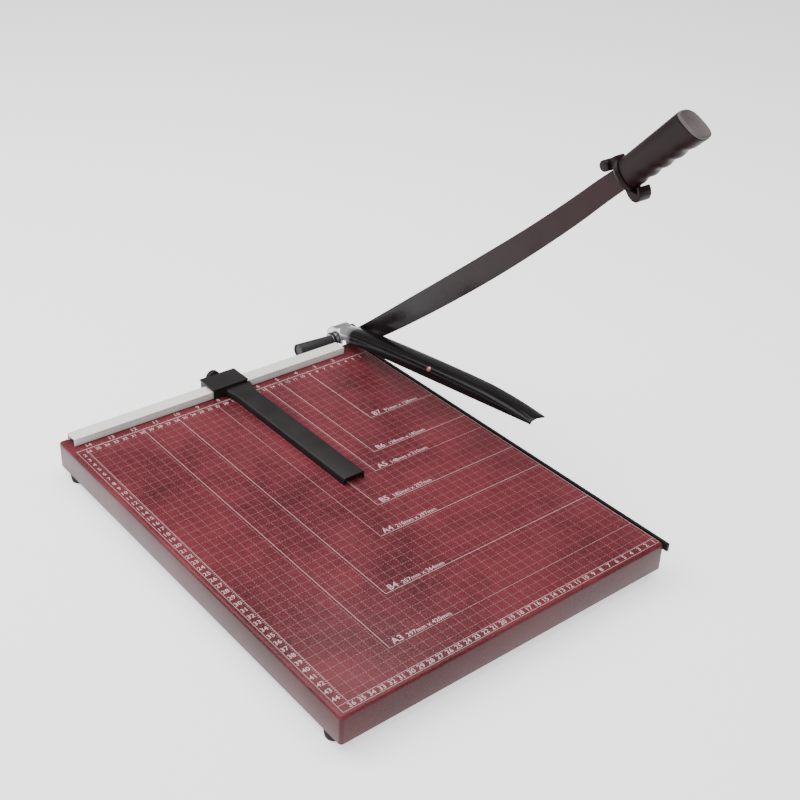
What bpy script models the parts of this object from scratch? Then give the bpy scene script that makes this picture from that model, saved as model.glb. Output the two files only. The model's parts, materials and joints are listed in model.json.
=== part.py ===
"""Guillotine paper cutter: an enamelled bed with a hinged blade, a paper clamp and a sliding stop.

Everything is modelled from the square corner of the bed, where the cutting edge meets the fence:
+X points out past the cutting edge, +Y to the back, +Z up, with the bed's top face at zero.
An empty at that corner carries every piece, so the finished model stands on its feet with the
origin under the middle of its bounding box. Lengths are in metres.
"""

from math import cos, pi, radians, sin

import bmesh
import bpy
from mathutils import Matrix, Vector

# Driving dimensions ---------------------------------------------------------------------------
GAP = 0.0003                # space left between two pieces that touch
BED_LEFT = -0.3765          # left wall of the pan
BED_FRONT = -0.460          # front wall of the pan
BED_BACK = 0.020            # back wall of the pan
PAN_HEIGHT = 0.029
PAN_SHEET = 0.0015
KNIFE_THICK = 0.003
KNIFE_DEPTH = 0.008
KNIFE_OVERHANG = 0.0033     # how far the knife runs past the front wall
FENCE_LEFT = -0.368
FENCE_RIGHT = -0.031
FENCE_WIDE = 0.016
FENCE_TALL = 0.0085
FENCE_SHEET = 0.0012
FOOT_TALL = 0.010
FOOT_INSET = 0.0102         # from a side wall to a foot's centre
FOOT_BACK = 0.021           # from the front or back wall to a foot's centre

PIVOT_Y = 0.027             # the bolt that the blade and the clamp swing on
PIVOT_Z = 0.0055
BOLT_RADIUS = 0.003
BLADE_OPEN = 40.0           # degrees above level at rest
BLADE_INSIDE = 0.0003       # inner face of the blade
BLADE_THICK = 0.003
GRIP_START = 0.4915         # along the blade from the pivot
GRIP_LONG = 0.0915
BUTT_SLANT = 0.0042         # the butt leans forward by this much at its top edge
GRIP_TILT = 5.7             # degrees
GRIP_LIFT = 0.0008          # height of the grip's start over the pivot line
GRIP_CENTRE = 0.0026        # across the blade
GRIP_WIDE = 0.0215

CLAMP_OPEN = 7.75           # degrees above level at rest
CLAMP_INNER = -0.0255
CLAMP_OUTER = -0.0046
CLAMP_SHEET = 0.0012
HUB_RADIUS = 0.0152

STOP_LEFT = -0.207
STOP_RIGHT = -0.163
ARM_LEFT = -0.189
ARM_RIGHT = -0.164
ARM_TIP = -0.212
KNOB_X = -0.187

PAN_RIGHT = -KNIFE_THICK - GAP
FLOOR = -PAN_HEIGHT - GAP - FOOT_TALL
KNOB_BACK = 0.0345          # end face of the stop's knob
GRIP_RIGHT = GRIP_CENTRE + GRIP_WIDE / 2
CENTRE_X = (BED_LEFT + GRIP_RIGHT) / 2
CENTRE_Y = (BED_FRONT - KNIFE_OVERHANG + PIVOT_Y + HUB_RADIUS) / 2
ROUND_STEPS = 24


# Materials ------------------------------------------------------------------------------------
def make_material(name, colour, roughness, metallic=0.0):
    material = bpy.data.materials.new(name)
    material.use_nodes = True
    shader = material.node_tree.nodes["Principled BSDF"]
    shader.inputs["Base Color"].default_value = (*colour, 1.0)
    shader.inputs["Roughness"].default_value = roughness
    shader.inputs["Metallic"].default_value = metallic
    return material


def make_materials():
    return {
        "maroon_enamel": make_material("maroon_enamel", (0.19, 0.035, 0.045), 0.35),
        "ivory_paint": make_material("ivory_paint", (0.80, 0.79, 0.75), 0.45),
        "black_steel": make_material("black_steel", (0.02, 0.02, 0.022), 0.3, 0.6),
        "bright_steel": make_material("bright_steel", (0.62, 0.62, 0.64), 0.25, 1.0),
        "grip_plastic": make_material("grip_plastic", (0.04, 0.022, 0.02), 0.35),
        "cap_plastic": make_material("cap_plastic", (0.19, 0.17, 0.17), 0.5),
        "black_plastic": make_material("black_plastic", (0.045, 0.045, 0.048), 0.5),
        "black_rubber": make_material("black_rubber", (0.02, 0.02, 0.02), 0.8),
    }


# Building blocks ------------------------------------------------------------------------------
def place(name, bm, material, parent, location=(0, 0, 0), smooth=True):
    """Turn a bmesh into a named object under its parent."""
    bmesh.ops.recalc_face_normals(bm, faces=bm.faces)
    mesh = bpy.data.meshes.new(name)
    bm.to_mesh(mesh)
    bm.free()
    if smooth:
        mesh.shade_smooth()
        mesh.set_sharp_from_angle(angle=radians(35))
    if material is not None:
        mesh.materials.append(material)
    item = bpy.data.objects.new(name, mesh)
    bpy.context.scene.collection.objects.link(item)
    item.parent = parent
    item.location = location
    return item


def make_empty(name, parent=None, location=(0, 0, 0), turn_x=0.0):
    empty = bpy.data.objects.new(name, None)
    bpy.context.scene.collection.objects.link(empty)
    empty.parent = parent
    empty.location = location
    empty.rotation_euler = (turn_x, 0, 0)
    return empty


def box_mesh(low, high):
    low, high = Vector(low), Vector(high)
    bm = bmesh.new()
    bmesh.ops.create_cube(bm, size=1.0)
    bmesh.ops.scale(bm, vec=high - low, verts=bm.verts)
    bmesh.ops.translate(bm, vec=(low + high) / 2, verts=bm.verts)
    return bm


def box(name, low, high, material, parent, bevel=0.0, segments=2):
    item = place(name, box_mesh(low, high), material, parent)
    if bevel > 0:
        add_bevel(item, bevel, segments)
    return item


def along_x(bm):
    """Turn a shape drawn along Z so that it lies along X."""
    bmesh.ops.rotate(bm, cent=(0, 0, 0), matrix=Matrix.Rotation(pi / 2, 3, "Y"), verts=bm.verts)


def along_y(bm):
    """Turn a shape drawn along Z so that it lies along Y."""
    bmesh.ops.rotate(bm, cent=(0, 0, 0), matrix=Matrix.Rotation(-pi / 2, 3, "X"), verts=bm.verts)


def turned_mesh(profile, steps=ROUND_STEPS):
    """Spin a closed (radius, height) profile round Z."""
    bm = bmesh.new()
    verts = [bm.verts.new((radius, 0, height)) for radius, height in profile]
    edges = [bm.edges.new((verts[i - 1], verts[i])) for i in range(len(verts))]
    on_axis = [edge for edge in edges if all(vert.co.x == 0 for vert in edge.verts)]
    for edge in on_axis:
        bm.edges.remove(edge)
    bmesh.ops.spin(
        bm, geom=bm.verts[:] + bm.edges[:], cent=(0, 0, 0), axis=(0, 0, 1),
        angle=2 * pi, steps=steps, use_merge=True,
    )
    bmesh.ops.remove_doubles(bm, verts=bm.verts, dist=1e-7)
    return bm


def turned(name, profile, material, parent, location, axis="Z", steps=ROUND_STEPS):
    bm = turned_mesh(profile, steps)
    if axis == "X":
        along_x(bm)
    elif axis == "Y":
        along_y(bm)
    return place(name, bm, material, parent, location)


def rod_profile(radius, low, high):
    return [(0, low), (radius, low), (radius, high), (0, high)]


def ring_profile(inner, outer, low, high):
    return [(inner, low), (outer, low), (outer, high), (inner, high)]


def screw_profile(head, head_tall, shank, length):
    """A round head on a shank that points down Z, with the underside of the head at zero."""
    return [(0, -length), (shank, -length), (shank, 0), (head, 0),
            (head, 0.6 * head_tall), (0.75 * head, head_tall), (0, head_tall)]


def prism_mesh(outline, low, high):
    """Extrude a (y, z) outline along X from low to high."""
    bm = bmesh.new()
    face = bm.faces.new([bm.verts.new((low, y, z)) for y, z in outline])
    grown = bmesh.ops.extrude_face_region(bm, geom=[face])
    moved = [item for item in grown["geom"] if isinstance(item, bmesh.types.BMVert)]
    bmesh.ops.translate(bm, vec=(high - low, 0, 0), verts=moved)
    return bm


def prism(name, outline, low, high, material, parent, location=(0, 0, 0), bevel=0.0):
    item = place(name, prism_mesh(outline, low, high), material, parent, location)
    if bevel > 0:
        add_bevel(item, bevel, 2)
    return item


def loft_mesh(rings):
    """Skin a list of equally long rings of points and close both ends."""
    bm = bmesh.new()
    rows = [[bm.verts.new(point) for point in ring] for ring in rings]
    count = len(rows[0])
    for first, second in zip(rows, rows[1:]):
        for i in range(count):
            j = (i + 1) % count
            bm.faces.new((first[i], first[j], second[j], second[i]))
    bm.faces.new(rows[0])
    bm.faces.new(list(reversed(rows[-1])))
    return bm


def arc(centre, radius, start, end, steps):
    """Points on an arc in degrees, counted from the first axis of the plane."""
    angles = [radians(start + (end - start) * i / steps) for i in range(steps + 1)]
    return [(centre[0] + radius * cos(a), centre[1] + radius * sin(a)) for a in angles]


def add_bevel(item, width, segments):
    modifier = item.modifiers.new("edges", "BEVEL")
    modifier.width = width
    modifier.segments = segments
    modifier.limit_method = "ANGLE"
    modifier.angle_limit = radians(40)


def use_on(item, other, operation):
    """Cut a hidden solid out of a piece, or join it on."""
    other.hide_render = True
    other.display_type = "WIRE"
    modifier = item.modifiers.new(other.name, "BOOLEAN")
    modifier.operation = operation
    modifier.object = other


def drill(item, parent, location, radius, length, axis, steps=16):
    """Drill a hole of the given length centred on a place."""
    profile = rod_profile(radius, -length / 2, length / 2)
    name = f"{item.name}_drill_{len(item.modifiers)}"
    use_on(item, turned(name, profile, None, parent, location, axis, steps), "DIFFERENCE")


# Bed ------------------------------------------------------------------------------------------
PLATE_REACH = 0.014         # how far a corner plate runs inwards past its foot


def foot_places():
    xs = (BED_LEFT + FOOT_INSET, PAN_RIGHT - FOOT_INSET)
    ys = (BED_FRONT + FOOT_BACK, BED_BACK - FOOT_BACK)
    return [(x, y) for y in ys for x in xs]


def fence_screw_places():
    return [(x, FENCE_WIDE / 2) for x in (FENCE_LEFT + 0.05, FENCE_RIGHT - 0.05)]


def knife_screw_places():
    return [BED_FRONT + 0.03, (BED_FRONT + BED_BACK) / 2, BED_BACK - 0.03]


def make_pan(materials, corner):
    """A pressed tray, open underneath, with rounded top and corner edges."""
    bm = box_mesh((BED_LEFT, BED_FRONT, -PAN_HEIGHT), (PAN_RIGHT, BED_BACK, 0))
    bottom = min(bm.faces, key=lambda face: face.calc_center_median().z)
    rim = set(bottom.edges)
    bmesh.ops.delete(bm, geom=[bottom], context="FACES_ONLY")
    folds = [edge for edge in bm.edges if edge not in rim]
    bmesh.ops.bevel(bm, geom=folds, offset=0.003, segments=3, profile=0.5, affect="EDGES")
    pan = place("base_pan", bm, materials["maroon_enamel"], corner)
    shell = pan.modifiers.new("sheet", "SOLIDIFY")
    shell.thickness = PAN_SHEET
    shell.offset = -1
    for x, y in fence_screw_places():
        drill(pan, corner, (x, y, 0), 0.0022, 0.01, "Z")
    for y in knife_screw_places():
        drill(pan, corner, (PAN_RIGHT, y, -KNIFE_DEPTH / 2), 0.0018, 0.01, "X")
    for x, z in bracket_screw_places():
        drill(pan, corner, (x, BED_BACK, z), 0.0023, 0.01, "Y")
    return pan


def make_knife(materials, corner):
    """The fixed knife, the bar behind it and the countersunk screws through both."""
    front = BED_FRONT - KNIFE_OVERHANG
    knife = box("bed_knife", (-KNIFE_THICK, front, -KNIFE_DEPTH), (0, BED_BACK, 0),
                materials["black_steel"], corner, 0.0004, 1)
    bar = box("knife_backing_bar", (PAN_RIGHT - PAN_SHEET - GAP - 0.005, BED_FRONT + 0.008, -0.018),
              (PAN_RIGHT - PAN_SHEET - GAP, BED_BACK - 0.008, -PAN_SHEET - GAP),
              materials["bright_steel"], corner, 0.0005, 1)
    sink = [(0, -0.008), (0.0018, -0.008), (0.0018, -0.0014), (0.003, 0.0002), (0, 0.0002)]
    body = [(0, -0.0095), (0.0015, -0.0095), (0.0015, -0.0014), (0.0023, -0.0003), (0, -0.0003)]
    for number, y in enumerate(knife_screw_places(), 1):
        at = (0, y, -KNIFE_DEPTH / 2)
        cutter = turned(f"knife_sink_{number}", sink, None, corner, at, "X", 16)
        use_on(knife, cutter, "DIFFERENCE")
        drill(bar, corner, (PAN_RIGHT - 0.005, y, -KNIFE_DEPTH / 2), 0.0018, 0.016, "X")
        turned(f"knife_screw_{number}", body, materials["black_steel"], corner, at, "X", 16)


def make_fence(materials, corner):
    """The ivory channel along the back edge, held by two screws and the nut plates in it."""
    side, top = FENCE_WIDE, FENCE_TALL
    inner = FENCE_SHEET
    outline = [(0, GAP), (inner, GAP), (inner, top - inner), (side - inner, top - inner),
               (side - inner, GAP), (side, GAP), (side, top - 0.001), (side - 0.001, top),
               (0.001, top), (0, top - 0.001)]
    prism("fence_bar", outline, FENCE_LEFT, FENCE_RIGHT, materials["ivory_paint"], corner)
    for number, (x, y) in enumerate(fence_screw_places(), 1):
        half = side / 2 - inner - GAP
        nut = box(f"fence_nut_{number}", (x - 0.009, y - half, GAP), (x + 0.009, y + half, 0.0045),
                  materials["bright_steel"], corner, 0.0004, 1)
        drill(nut, corner, (x, y, 0.002), 0.0022, 0.01, "Z")
        screw = turned(f"fence_screw_{number}", screw_profile(0.004, 0.0022, 0.0019, 0.0062),
                       materials["bright_steel"], corner, (x, y, -PAN_SHEET - GAP), "Z", 16)
        screw.rotation_euler = (pi, 0, 0)


def make_ribs(materials, corner):
    """Two hat-section ribs spot-welded under the bed."""
    hat = [(-0.020, 0), (-0.010, 0), (-0.007, -0.012), (0.007, -0.012), (0.010, 0), (0.020, 0),
           (0.020, -0.0012), (0.0109, -0.0012), (0.0079, -0.0132), (-0.0079, -0.0132),
           (-0.0109, -0.0012), (-0.020, -0.0012)]
    for number, share in enumerate((1 / 3, 2 / 3), 1):
        y = BED_FRONT + share * (BED_BACK - BED_FRONT)
        prism(f"bed_rib_{number}", hat, BED_LEFT + 0.012, PAN_RIGHT - 0.012,
              materials["maroon_enamel"], corner, (0, y, -PAN_SHEET - GAP))


def make_feet(materials, corner):
    """A plate across each corner of the pan, with a rubber foot screwed up into it."""
    inside = PAN_SHEET + 0.001
    foot = [(0.0022, 0.0035), (0.0052, 0.0035), (0.0052, 0.0), (0.0085, 0.0), (0.0098, 0.010),
            (0.0022, 0.010)]
    for number, (x, y) in enumerate(foot_places(), 1):
        toward_x = -1 if x < CENTRE_X else 1
        toward_y = -1 if y < CENTRE_Y else 1
        wall_x = BED_LEFT + inside if toward_x < 0 else PAN_RIGHT - inside
        wall_y = BED_FRONT + inside if toward_y < 0 else BED_BACK - inside
        reach_x, reach_y = x - toward_x * PLATE_REACH, y - toward_y * PLATE_REACH
        low = (min(wall_x, reach_x), min(wall_y, reach_y))
        high = (max(wall_x, reach_x), max(wall_y, reach_y))
        plate = box(f"corner_plate_{number}", (*low, -PAN_HEIGHT), (*high, -PAN_HEIGHT + 0.002),
                    materials["maroon_enamel"], corner)
        drill(plate, corner, (x, y, -PAN_HEIGHT), 0.0022, 0.01, "Z")
        turned(f"foot_{number}", foot, materials["black_rubber"], corner, (x, y, FLOOR))
        screw = turned(f"foot_screw_{number}", screw_profile(0.0045, 0.002, 0.0019, 0.0105),
                       materials["bright_steel"], corner, (x, y, FLOOR + 0.0032), "Z", 16)
        screw.rotation_euler = (pi, 0, 0)


# Pivot ----------------------------------------------------------------------------------------
BRACKET_LEFT = -0.0294
BRACKET_RIGHT = -0.0006
EAR_THICK = 0.0025
CLEAR_HOLE = BOLT_RADIUS + GAP


def bracket_screw_places():
    return [(x, -0.018) for x in (-0.0225, -0.0095)]


def make_bracket(materials, corner):
    """A folded steel bracket whose two ears carry the pivot bolt."""
    front = BED_BACK + GAP
    back = front + EAR_THICK
    ear = [(front, -0.027), (front, 0.0004)]
    ear += list(reversed(arc((PIVOT_Y, PIVOT_Z), 0.009, -15, 200, 12)))
    ear += [(0.0345, -0.006), (0.029, -0.027)]
    bracket = prism("pivot_bracket", ear, BRACKET_LEFT, BRACKET_RIGHT, materials["black_steel"],
                    corner)
    throat = box("bracket_throat", (BRACKET_LEFT + EAR_THICK, back, -0.04),
                 (BRACKET_RIGHT - EAR_THICK, 0.06, 0.04), None, corner)
    use_on(bracket, throat, "DIFFERENCE")
    lip = box("bracket_lip", (BRACKET_LEFT + EAR_THICK, 0, -0.0085),
              (BRACKET_RIGHT - EAR_THICK, 0.06, 0.04), None, corner)
    use_on(bracket, lip, "DIFFERENCE")
    drill(bracket, corner, (-0.015, PIVOT_Y, PIVOT_Z), CLEAR_HOLE, 0.06, "X", 20)
    inside = BED_BACK - PAN_SHEET - GAP
    plate = box("bracket_backing_plate", (BRACKET_LEFT, inside - 0.004, -0.024),
                (PAN_RIGHT - 0.003, inside, -0.012), materials["bright_steel"], corner, 0.0005, 1)
    for number, (x, z) in enumerate(bracket_screw_places(), 1):
        drill(bracket, corner, (x, back, z), 0.0023, 0.012, "Y")
        drill(plate, corner, (x, inside, z), 0.0023, 0.012, "Y")
        turned(f"bracket_screw_{number}", screw_profile(0.0042, 0.0024, 0.002, 0.0105),
               materials["bright_steel"], corner, (x, back + GAP, z), "Y", 16)


def hex_outline(radius):
    return [(radius * cos(pi * i / 3), radius * sin(pi * i / 3)) for i in range(6)]


def make_bolt_stack(materials, corner):
    """The bolt through the bracket and everything threaded on it, from the head inwards."""
    at = (0, PIVOT_Y, PIVOT_Z)
    steel = materials["bright_steel"]
    bolt = turned("pivot_bolt", rod_profile(BOLT_RADIUS, -0.0605, 0.0055), steel, corner, at, "X")
    head = prism("bolt_head", hex_outline(0.0058), 0.005, 0.009, None, corner, at)
    use_on(bolt, head, "UNION")
    turned("bolt_washer", ring_profile(CLEAR_HOLE, 0.0078, 0.0036, 0.0047), steel, corner, at, "X")
    turned("clamp_washer", ring_profile(0.0053, 0.0083, -0.0266, -0.0258), steel, corner, at, "X")
    turned("cover_washer", ring_profile(CLEAR_HOLE, 0.0075, -0.0307, -0.0297), steel, corner, at,
           "X")
    cover = [(CLEAR_HOLE, -0.0310), (0.0058, -0.0310), (0.0064, -0.0318), (0.0085, -0.0760),
             (0.0081, -0.0765), (0.0070, -0.0765), (0.0050, -0.0327), (CLEAR_HOLE, -0.0327)]
    turned("spring_cover", cover, materials["black_steel"], corner, at, "X")
    cap = [(0, -0.0753), (0.0065, -0.0753), (0.0066, -0.0738), (0, -0.0738)]
    turned("spring_cover_cap", cap, materials["black_plastic"], corner, at, "X")
    turned("spring_seat", ring_profile(CLEAR_HOLE, 0.0049, -0.0541, -0.0529), steel, corner, at,
           "X")
    nut = prism("lock_nut", hex_outline(0.0053), -0.0589, -0.0544, steel, corner, at)
    drill(nut, corner, (-0.0566, PIVOT_Y, PIVOT_Z), CLEAR_HOLE, 0.02, "X")
    make_spring(materials, corner)


def make_spring(materials, corner):
    """The compression spring that presses the bracket, clamp and blade together."""
    start, end, turns, steps = -0.0335, -0.0521, 5, 14
    wire, radius = 0.00045, 0.0039
    curve = bpy.data.curves.new("tension_spring", "CURVE")
    curve.dimensions = "3D"
    curve.bevel_depth = wire
    curve.bevel_resolution = 1
    curve.use_fill_caps = True
    spline = curve.splines.new("POLY")
    spline.points.add(turns * steps)
    for i, point in enumerate(spline.points):
        angle = 2 * pi * i / steps
        x = start + (end - start) * i / (turns * steps)
        point.co = (x, radius * cos(angle), radius * sin(angle), 1)
    curve.materials.append(materials["bright_steel"])
    spring = bpy.data.objects.new("tension_spring", curve)
    bpy.context.scene.collection.objects.link(spring)
    spring.parent = corner
    spring.location = (0, PIVOT_Y, PIVOT_Z)


# Blade arm ------------------------------------------------------------------------------------
# Along the blade from the pivot, height of the spine, height of the cutting edge.
BLADE_STATIONS = [
    (0.006, 0.0030, -0.0085), (0.030, 0.0026, -0.0170), (0.054, 0.0024, -0.0207),
    (0.130, 0.0025, -0.0234), (0.215, 0.0027, -0.0241), (0.290, 0.0032, -0.0230),
    (0.356, 0.0042, -0.0202), (0.420, 0.0068, -0.0160), (0.460, 0.0093, -0.0120),
    (0.491, 0.0106, -0.0094), (0.497, 0.0082, -0.0065), (0.556, 0.0125, 0.0020),
]
BLADE_EYE = 0.011
FINGERS = 4
LUG_ALONG = 0.4815
LUG_HEIGHT = 0.0160


def blade_ring(station):
    along, spine, edge = station
    inner, outer = BLADE_INSIDE, BLADE_INSIDE + BLADE_THICK
    section = [(inner, spine), (outer, spine), (outer, edge + 0.004), (inner + 0.0005, edge),
               (inner, edge)]
    return [(x, -along, z) for x, z in section]


def make_blade(materials, arm):
    blade = place("blade", loft_mesh([blade_ring(station) for station in BLADE_STATIONS]),
                  materials["black_steel"], arm, smooth=False)
    eye = turned("blade_eye", rod_profile(BLADE_EYE, BLADE_INSIDE, BLADE_INSIDE + BLADE_THICK),
                 None, arm, (0, 0, 0), "X", 32)
    use_on(blade, eye, "UNION")
    drill(blade, arm, (BLADE_INSIDE, 0, 0), 0.0058, 0.02, "X", 24)
    bush = ring_profile(CLEAR_HOLE, 0.0055, BLADE_INSIDE, BLADE_INSIDE + BLADE_THICK)
    turned("blade_bush", bush, materials["bright_steel"], arm, (0, 0, 0), "X")
    return blade


def rounded_ring(share, lift, shrink=0.0):
    """One section of the grip, a rounded rectangle that follows the fingers underneath."""
    squareness = 2.3 + 0.5 * share
    top = 0.0140 + 0.0010 * share - shrink
    fingers = 0.0
    if 0.1 < share < 0.86:
        fingers = 0.0007 * (1 - cos(2 * pi * FINGERS * (share - 0.1) / 0.76))
    bottom = 0.0145 + 0.0020 * share - fingers - shrink
    half_wide = (0.9 + 0.1 * share) * GRIP_WIDE / 2 - shrink
    tilt = radians(GRIP_TILT)
    points = []
    for i in range(ROUND_STEPS):
        angle = 2 * pi * i / ROUND_STEPS
        across = abs(cos(angle)) ** (2 / squareness) * (1 if cos(angle) > 0 else -1)
        up = abs(sin(angle)) ** (2 / squareness) * (1 if sin(angle) > 0 else -1)
        height = up * (top if up > 0 else bottom)
        slanted = lift - share ** 3 * BUTT_SLANT * height / top
        along = GRIP_START + slanted * cos(tilt) - height * sin(tilt)
        points.append((GRIP_CENTRE + half_wide * across, -along,
                       GRIP_LIFT + slanted * sin(tilt) + height * cos(tilt)))
    return points


def make_grip(materials, arm):
    """The moulded grip over the blade's tang, its butt cap and the two pins through it."""
    start, end, stations = 0.0058, GRIP_LONG - 0.003, 25
    rings = []
    for i in range(stations + 1):
        share = i / stations
        rings.append(rounded_ring(share, start + share * (end - start)))
    grip = place("handle_grip", loft_mesh(rings), materials["grip_plastic"], arm)
    use_on(grip, tang_cutter(arm, "grip_tang_slot"), "DIFFERENCE")
    cap_rings = [rounded_ring(1, end + GAP, 0.0004), rounded_ring(1, GRIP_LONG - 0.001, 0.0004),
                 rounded_ring(1, GRIP_LONG, 0.0015)]
    place("butt_cap", loft_mesh(cap_rings), materials["cap_plastic"], arm)
    return grip


def tang_cutter(arm, name):
    """The blade's tang with clearance all round."""
    clear = 0.0004
    rings = []
    for along, spine, edge in ((0.474, 0.0107, -0.0118), (0.4912, 0.0112, -0.0100),
                               (0.4976, 0.0088, -0.0071), (0.558, 0.0133, 0.0013)):
        inner, outer = BLADE_INSIDE - clear, BLADE_INSIDE + BLADE_THICK + clear
        section = [(inner, spine), (outer, spine), (outer, edge), (inner, edge)]
        rings.append([(x, -along, z) for x, z in section])
    return place(name, loft_mesh(rings), None, arm, smooth=False)


def make_pins(materials, arm, blade, grip):
    for number, (along, height) in enumerate(((0.516, 0.0030), (0.542, 0.0060)), 1):
        at = (0.0042, -along, height)
        drill(blade, arm, at, 0.0023, 0.02, "X")
        drill(grip, arm, at, 0.0023, 0.02, "X")
        turned(f"grip_pin_{number}", rod_profile(0.002, -0.0094, 0.0070),
               materials["bright_steel"], arm, at, "X", 16)


def make_guard(materials, arm):
    """Front collar of the handle, with the finger hook below and the lug above the spine."""
    rings = [rounded_ring(0, 0.0, -0.0012), rounded_ring(0, 0.0012, -0.0024),
             rounded_ring(0, 0.0040, -0.0024), rounded_ring(0, 0.0054, -0.0010)]
    guard = place("handle_guard", loft_mesh(rings), materials["grip_plastic"], arm)
    hook = [(0.0004, -0.0068), (0.0008, -0.0170), (0.0028, -0.0222), (0.0062, -0.0252),
            (0.0102, -0.0252), (0.0134, -0.0228), (0.0154, -0.0190), (0.0160, -0.0142),
            (0.0136, -0.0144), (0.0126, -0.0178), (0.0112, -0.0192), (0.0096, -0.0184),
            (0.0084, -0.0168), (0.0070, -0.0152), (0.0055, -0.0142), (0.0050, -0.0068)]
    outline = [(-GRIP_START - along, z) for along, z in hook]
    piece = prism("guard_hook", outline, GRIP_CENTRE - 0.0075, GRIP_CENTRE + 0.0075, None, arm)
    use_on(guard, piece, "UNION")
    lug = turned("guard_lug", rod_profile(0.0052, -0.0095, 0.0095), None, arm,
                 (GRIP_CENTRE, -LUG_ALONG, LUG_HEIGHT), "X", 20)
    use_on(guard, lug, "UNION")
    neck = box("guard_neck", (GRIP_CENTRE - 0.006, -GRIP_START - 0.004, LUG_HEIGHT - 0.0040),
               (GRIP_CENTRE + 0.006, -LUG_ALONG, LUG_HEIGHT + 0.0035), None, arm)
    use_on(guard, neck, "UNION")
    use_on(guard, tang_cutter(arm, "guard_tang_slot"), "DIFFERENCE")


# Paper clamp ----------------------------------------------------------------------------------
# Along the bar from the pivot, height of its ridge.
CLAMP_STATIONS = [
    (0.0050, 0.0142), (0.0140, 0.0152), (0.0250, 0.0162), (0.0400, 0.0173), (0.0700, 0.0183),
    (0.1100, 0.0188), (0.1800, 0.0187), (0.2470, 0.0174), (0.2850, 0.0146), (0.3100, 0.0113),
    (0.3266, 0.0085),
]
CLAMP_EDGE = 0.0041         # height of the bar's lower edge above the pivot
HUB_BACK, HUB_FRONT = -15, 165   # degrees of the hub's curved roof, counted up from the back
RIVET_TILT = -58.0          # degrees, square to the sloping wall


def clamp_ring(along, ridge):
    """A folded section: steep inner wall, ridge, and a flange that falls to the outer edge."""
    tall = ridge - CLAMP_EDGE
    sheet = CLAMP_SHEET
    fall = 0.0008 + 0.0018 * max(0.0, (along - 0.25) / 0.0766)
    outer = [(CLAMP_INNER, 0), (-0.0248, 0.5 * tall), (-0.0215, 0.86 * tall), (-0.0170, tall),
             (-0.0110, tall - 0.4 * fall), (CLAMP_OUTER, tall - fall)]
    inner = [(CLAMP_OUTER, tall - fall - sheet), (-0.0112, tall - 0.4 * fall - sheet),
             (-0.0168, tall - sheet), (-0.0207, 0.86 * tall - 0.9 * sheet),
             (-0.0236, 0.5 * tall - 0.2 * sheet), (CLAMP_INNER + sheet, 0)]
    return [(x, -along, CLAMP_EDGE + z) for x, z in outer + inner]


def make_clamp(materials, arm):
    rings = [clamp_ring(along, ridge) for along, ridge in CLAMP_STATIONS]
    bar = place("clamp_bar", loft_mesh(rings), materials["black_steel"], arm)
    inner_radius = HUB_RADIUS - CLAMP_SHEET
    band = arc((0, 0), HUB_RADIUS, HUB_BACK, HUB_FRONT, 16)
    band += list(reversed(arc((0, 0), inner_radius, HUB_BACK, HUB_FRONT, 16)))
    hub = prism("clamp_hub", band, CLAMP_INNER, CLAMP_OUTER, None, arm)
    use_on(bar, hub, "UNION")
    cheek = arc((0, 0), HUB_RADIUS - 0.0002, -5, 190, 16) + arc((0, 0), 0.007, 190, 355, 12)
    for name, low in (("inner_cheek", CLAMP_INNER + 0.0001),
                      ("outer_cheek", CLAMP_OUTER - 0.0001 - CLAMP_SHEET)):
        use_on(bar, prism(name, cheek, low, low + CLAMP_SHEET, None, arm), "UNION")
    drill(bar, arm, (-0.015, 0, 0), 0.0053, 0.05, "X", 24)
    turned("clamp_sleeve", ring_profile(CLEAR_HOLE, 0.005, -0.0265, -0.0035),
           materials["bright_steel"], arm, (0, 0, 0), "X")
    make_rivet(materials, arm, bar)


def make_rivet(materials, arm, bar):
    at = (-0.0226, -0.1705, 0.0138)
    hole = turned("rivet_hole", rod_profile(0.0019, -0.004, 0.004), None, arm, at, "Z", 16)
    hole.rotation_euler = (0, radians(RIVET_TILT), 0)
    use_on(bar, hole, "DIFFERENCE")
    profile = [(0, -0.0020), (0.0028, -0.0020), (0.0028, -0.0011), (0.0015, -0.0011),
               (0.0015, 0.0011), (0.0032, 0.0011), (0.0028, 0.0019), (0.0016, 0.0025), (0, 0.0026)]
    rivet = turned("clamp_rivet", profile, materials["bright_steel"], arm, at, "Z", 20)
    rivet.rotation_euler = (0, radians(RIVET_TILT), 0)


# Paper stop -----------------------------------------------------------------------------------
def make_stop(materials, corner):
    """The saddle over the fence with its long arm, cap, shoe and clamping knob."""
    plastic = materials["black_plastic"]
    front, inner, back = -0.002, -GAP, 0.026
    saddle = [(front, 0.0004), (inner, 0.0004), (inner, FENCE_TALL + GAP),
              (0.018, FENCE_TALL + GAP), (0.018, 0.0004), (back, 0.0004), (back, 0.0102),
              (front, 0.0102)]
    stop = prism("stop_arm", saddle, STOP_LEFT + 0.001, STOP_RIGHT - 0.001, plastic, corner)
    arm = place("arm_channel", loft_mesh(arm_rings()), None, corner, smooth=False)
    use_on(stop, arm, "UNION")
    for name, y in (("end_rib", ARM_TIP + 0.008), ("middle_rib", ARM_TIP / 2)):
        rib = box(name, (ARM_LEFT + 0.001, y, 0.0015), (ARM_RIGHT - 0.001, y + 0.002, 0.007), None,
                  corner)
        use_on(stop, rib, "UNION")
    knob_z = 0.006
    drill(stop, corner, (KNOB_X, 0.022, knob_z), 0.0026, 0.012, "Y")
    box("stop_cap", (STOP_LEFT, front - 0.0006, 0.0105), (STOP_RIGHT, back + 0.0004, 0.0126),
        plastic, corner, 0.0008, 2)
    box("stop_shoe", (KNOB_X - 0.007, FENCE_WIDE + GAP, 0.0012),
        (KNOB_X + 0.007, 0.0177, 0.0076), materials["bright_steel"], corner)
    return knob_z


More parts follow.
